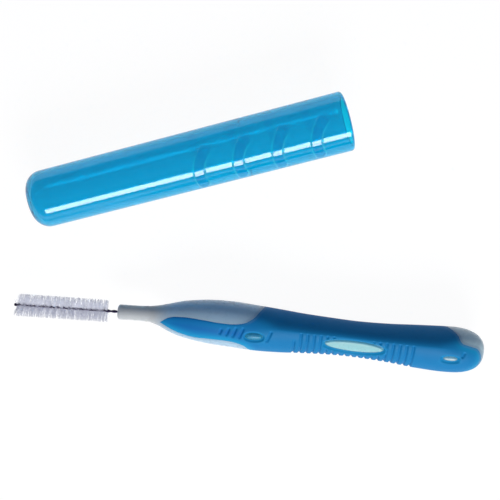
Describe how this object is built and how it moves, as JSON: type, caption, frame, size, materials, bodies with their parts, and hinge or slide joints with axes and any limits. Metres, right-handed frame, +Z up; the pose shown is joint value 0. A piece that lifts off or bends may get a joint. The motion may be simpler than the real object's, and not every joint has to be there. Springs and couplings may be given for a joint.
{
  "type": "interdental brush",
  "caption": "Interdental brush: twisted-wire brush head in a slim curved handle with a ribbed soft grip, and its translucent tube cap drawn off beside it.",
  "frame": {"origin": "on the surface that the set lies on, under the middle of the set", "axes": "+X along the cap towards its mouth, +Y from the brush to the cap, +Z up off the surface"},
  "size_m": [0.089, 0.0604, 0.0126],
  "materials": {
    "core_plastic": "satin moulded plastic, pale and slightly milky",
    "soft_grip": "soft overmoulded elastomer, fine matt grain",
    "stem_wire": "dark coated wire",
    "filament": "clear drawn nylon filament",
    "cap_plastic": "polished tinted transparent plastic"
  },
  "bodies": {
    "brush": {"handle_core": "core_plastic", "grip_sleeve": "soft_grip", "wire_stem": "stem_wire", "bristle_turn_1": "filament", "bristle_turn_2": "filament", "bristle_turn_3": "filament", "bristle_turn_4": "filament", "bristle_turn_5": "filament", "bristle_turn_6": "filament", "bristle_turn_7": "filament"},
    "cap": {"cap": "cap_plastic"}
  },
  "joints": [
    {"name": "cap_draw", "type": "slide", "parent": "brush", "child": "cap", "axis": [-1, 0, 0], "range_m": [0, 0.065]}
  ]
}
